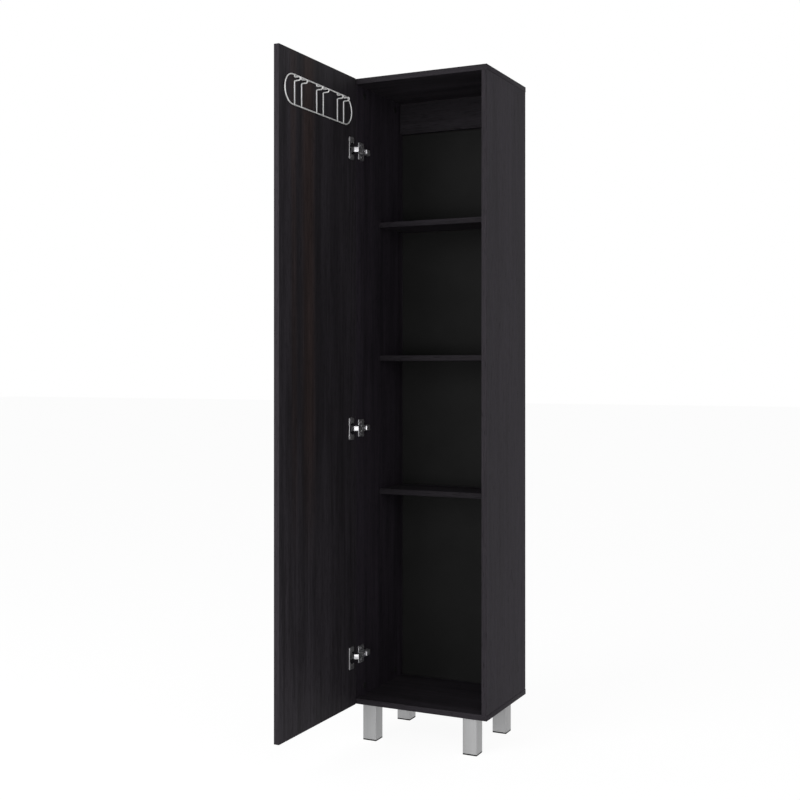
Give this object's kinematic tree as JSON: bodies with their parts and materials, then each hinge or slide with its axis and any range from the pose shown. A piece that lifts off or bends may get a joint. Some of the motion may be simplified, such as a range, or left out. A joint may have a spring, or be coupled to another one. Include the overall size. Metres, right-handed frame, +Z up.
{
  "type": "broom cupboard",
  "caption": "Tall narrow black wood-grain broom cupboard on square metal legs, with a hinged full-height door, shallow shelves and a wire hook rack inside the door.",
  "frame": {"origin": "on the floor, under the middle of the carcass", "axes": "+Z up, the front of the carcass towards -Y, the door hinged on the -X side"},
  "size_m": [0.4, 0.7015, 1.813],
  "materials": {
    "board": "black wood-grain melamine on particle board, satin",
    "edge_band": "black wood-grain edge band, satin",
    "back_board": "plain black lacquered hardboard",
    "leg_aluminium": "satin anodised, lengthwise grain",
    "glide_plastic": "dark moulded plastic",
    "hinge_nickel": "nickel-plated pressed steel",
    "rack_wire": "light silver-grey coated wire",
    "zinc_fitting": "bright zinc-plated",
    "dowel_wood": "plain beech",
    "cover_plastic": "black push-in cap"
  },
  "bodies": {
    "carcass": {"back_nails": "zinc_fitting", "back_panel": "back_board", "back_rail": "board", "bottom_panel": "board", "cam_covers": "cover_plastic", "carcass_edge_bands": "edge_band", "corner_cam_bolts": "zinc_fitting", "corner_cams": "zinc_fitting", "corner_dowels": "dowel_wood", "front_left_leg": "leg_aluminium", "front_left_leg_glide": "glide_plastic", "front_left_leg_plate": "zinc_fitting", "front_right_leg": "leg_aluminium", "front_right_leg_glide": "glide_plastic", "front_right_leg_plate": "zinc_fitting", "hinge_adjusting_screws": "hinge_nickel", "hinge_fixing_screws": "hinge_nickel", "hinge_plate_screws": "hinge_nickel", "left_side_panel": "board", "leg_screws": "zinc_fitting", "lower_hinge_arm": "hinge_nickel", "lower_hinge_plate": "hinge_nickel", "lower_shelf": "board", "middle_hinge_arm": "hinge_nickel", "middle_hinge_plate": "hinge_nickel", "middle_shelf": "board", "rail_cam_bolts": "zinc_fitting", "rail_cams": "zinc_fitting", "rail_dowels": "dowel_wood", "rear_left_leg": "leg_aluminium", "rear_left_leg_glide": "glide_plastic", "rear_left_leg_plate": "zinc_fitting", "rear_right_leg": "leg_aluminium", "rear_right_leg_glide": "glide_plastic", "rear_right_leg_plate": "zinc_fitting", "right_side_panel": "board", "shelf_cam_bolts": "zinc_fitting", "shelf_cams": "zinc_fitting", "shelf_dowels": "dowel_wood", "shelf_edge_bands": "edge_band", "top_panel": "board", "upper_hinge_arm": "hinge_nickel", "upper_hinge_plate": "hinge_nickel", "upper_shelf": "board"},
    "door": {"door_panel": "board", "door_edge_band": "edge_band", "hinge_pins": "hinge_nickel", "hinge_cup_screws": "hinge_nickel", "lower_hinge_cup": "hinge_nickel", "middle_hinge_cup": "hinge_nickel", "upper_hinge_cup": "hinge_nickel", "rack_frame": "rack_wire", "left_rack_hook": "rack_wire", "middle_rack_hook": "rack_wire", "right_rack_hook": "rack_wire", "rack_studs": "rack_wire"}
  },
  "joints": [
    {"name": "door_hinge", "type": "hinge", "parent": "carcass", "child": "door", "pos_m": [-0.1925, -0.1605, 0.9555], "axis": [0, 0, 1], "range_deg": [-10, 90]}
  ]
}
